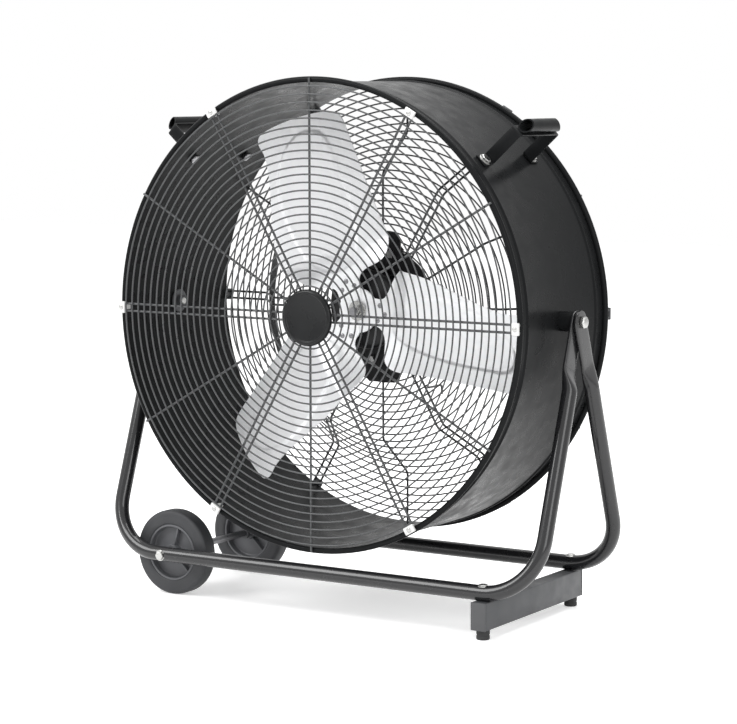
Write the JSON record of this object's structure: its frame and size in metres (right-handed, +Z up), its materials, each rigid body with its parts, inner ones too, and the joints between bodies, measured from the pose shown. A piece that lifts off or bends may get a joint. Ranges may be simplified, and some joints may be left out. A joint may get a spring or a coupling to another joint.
{
  "type": "drum fan",
  "caption": "Floor-standing drum fan: sheet-metal drum with wire guards and three pressed blades, tilting in a bent-tube stand with two wheels and two carry handles.",
  "frame": {"origin": "on the floor, under the middle of the drum", "axes": "+X to the right seen from the front, +Y to the back, +Z up; air leaves towards -Y"},
  "size_m": [0.8682, 0.337, 0.897],
  "materials": {
    "drum_paint": "satin",
    "wire_paint": "satin",
    "tube_paint": "gloss",
    "bar_paint": "satin",
    "handle_paint": "satin",
    "motor_paint": "matt",
    "badge_plastic": "satin",
    "clip_plastic": "gloss",
    "cap_plastic": "matt",
    "switch_plastic": "matt",
    "knob_plastic": "matt",
    "wheel_plastic": "matt",
    "foot_rubber": "matt",
    "tyre_rubber": "matt",
    "zinc_steel": "bright",
    "axle_steel": "satin",
    "blade_metal": "satin"
  },
  "bodies": {
    "stand": {"stand_front_tube": "tube_paint", "stand_rear_tube": "tube_paint", "foot_bar": "bar_paint", "foot_bar_caps": "cap_plastic", "foot_bar_bolts": "zinc_steel", "rubber_feet": "foot_rubber", "wheel_axle": "axle_steel", "axle_bolts": "zinc_steel", "axle_collars": "cap_plastic"},
    "drum": {"drum_shell": "drum_paint", "front_guard_rings": "wire_paint", "front_guard_spokes": "wire_paint", "front_badge": "badge_plastic", "front_guard_clips": "clip_plastic", "rear_guard_centre_rings": "wire_paint", "rear_guard_outer_rings": "wire_paint", "rear_guard_spokes": "wire_paint", "rear_guard_clips": "cap_plastic", "motor_mount_plate": "motor_paint", "motor_clamp_plate": "motor_paint", "motor_mount_bolts": "zinc_steel", "motor_body": "motor_paint", "motor_end_shield": "motor_paint", "switch_box": "switch_plastic", "cable_gland": "switch_plastic", "cord_hooks": "wire_paint", "handle_right": "handle_paint", "handle_left": "handle_paint", "handle_grip_right": "handle_paint", "handle_grip_left": "handle_paint", "handle_bolts": "zinc_steel", "pivot_spacers": "drum_paint", "pivot_bolts": "zinc_steel", "pivot_nuts": "zinc_steel"},
    "fan": {"motor_shaft": "axle_steel", "fan_hub": "axle_steel", "fan_spider": "blade_metal", "fan_blade_1": "blade_metal", "fan_blade_2": "blade_metal", "fan_blade_3": "blade_metal", "hub_nut": "zinc_steel"},
    "speed_knob": {"switch_knob": "knob_plastic"},
    "front_wheel": {"front_wheel_tyre": "tyre_rubber", "front_wheel_hub": "wheel_plastic"},
    "rear_wheel": {"rear_wheel_tyre": "tyre_rubber", "rear_wheel_hub": "wheel_plastic"}
  },
  "joints": [
    {"name": "drum_tilt", "type": "hinge", "parent": "stand", "child": "drum", "pos_m": [0, 0, 0.502], "axis": [1, 0, 0], "range_deg": [-90, 90]},
    {"name": "fan_spin", "type": "hinge", "parent": "drum", "child": "fan", "pos_m": [0, 0, 0.502], "axis": [0, 1, 0], "continuous": true},
    {"name": "speed_knob_turn", "type": "hinge", "parent": "drum", "child": "speed_knob", "pos_m": [0, 0.1, 0.502], "axis": [0, 1, 0], "range_deg": [0, 90]},
    {"name": "front_wheel_roll", "type": "hinge", "parent": "stand", "child": "front_wheel", "pos_m": [-0.309, -0.114, 0.074], "axis": [0, 1, 0], "continuous": true},
    {"name": "rear_wheel_roll", "type": "hinge", "parent": "stand", "child": "rear_wheel", "pos_m": [-0.309, 0.114, 0.074], "axis": [0, 1, 0], "continuous": true}
  ]
}
